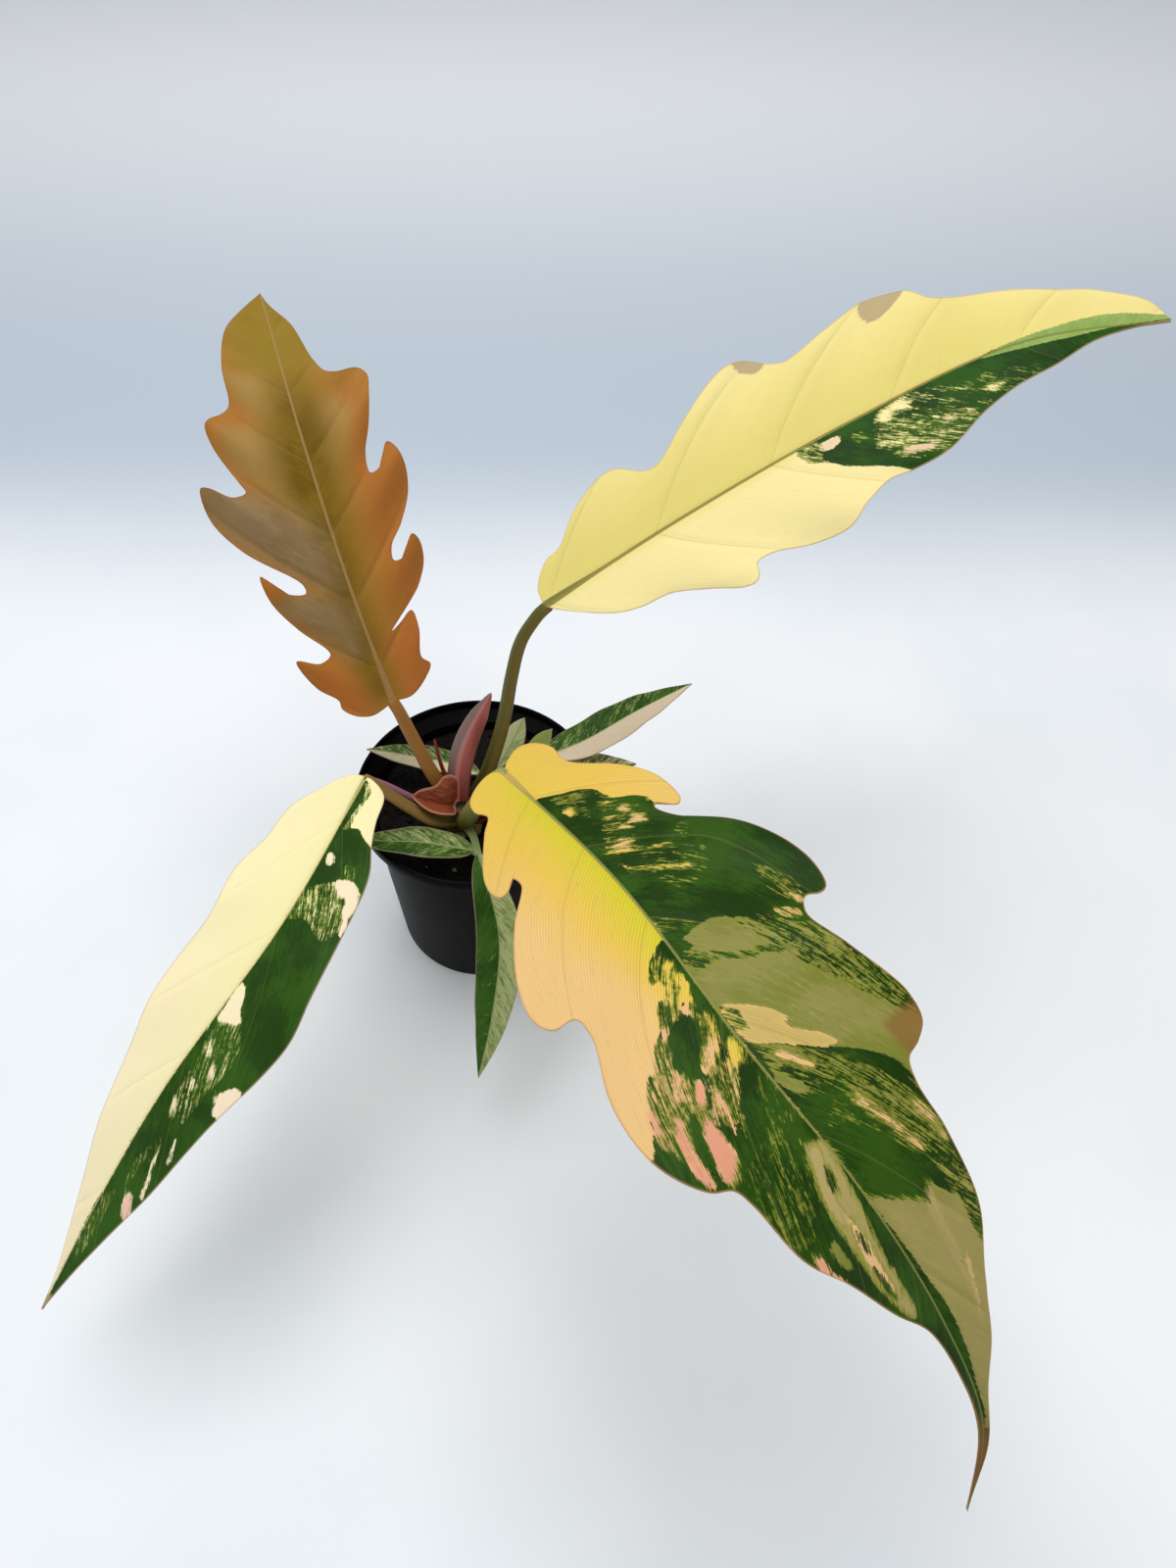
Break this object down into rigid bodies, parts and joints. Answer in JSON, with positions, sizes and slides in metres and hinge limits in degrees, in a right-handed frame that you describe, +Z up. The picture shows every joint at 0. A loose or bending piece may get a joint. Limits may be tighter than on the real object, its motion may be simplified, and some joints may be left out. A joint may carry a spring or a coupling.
{
  "type": "potted variegated philodendron",
  "caption": "Young variegated philodendron with long lobed leaves in cream, yellow, green and caramel, growing in a small black nursery pot.",
  "frame": {"origin": "centre of the pot's flat bottom", "axes": "+Z up along the pot's axis; -Y towards the largest, hanging leaf; +X towards the yellow leaf"},
  "size_m": [0.3312, 0.3397, 0.2408],
  "materials": {
    "pot": "satin",
    "soil": "matte",
    "stem": "matte",
    "blade_caramel": "satin",
    "blade_yellow": "satin",
    "blade_marbled": "satin",
    "blade_cream": "satin",
    "petiole_caramel": "satin",
    "petiole_yellow": "satin",
    "petiole_marbled": "satin",
    "petiole_cream": "satin",
    "new_leaf": "satin",
    "sheath": "satin",
    "pink_stalk": "satin",
    "dried_tip": "matte",
    "red_scale": "matte",
    "small_leaf": "satin"
  },
  "bodies": {
    "root": {"pot": "pot", "soil": "soil", "stem": "stem", "blade_caramel": "blade_caramel", "blade_yellow": "blade_yellow", "blade_marbled": "blade_marbled", "blade_cream": "blade_cream", "petiole_caramel": "petiole_caramel", "petiole_yellow": "petiole_yellow", "petiole_marbled": "petiole_marbled", "petiole_cream": "petiole_cream", "new_leaf": "new_leaf", "sheath": "sheath", "pink_stalk": "pink_stalk", "dried_tip": "dried_tip", "red_scale": "red_scale", "small_leaf_right_back": "small_leaf", "small_leaf_right": "small_leaf", "small_leaf_front": "small_leaf", "small_leaf_front_left": "small_leaf", "small_leaf_left_back": "small_leaf", "small_leaf_back": "small_leaf", "small_leaf_back_right": "small_leaf"}
  },
  "joints": []
}
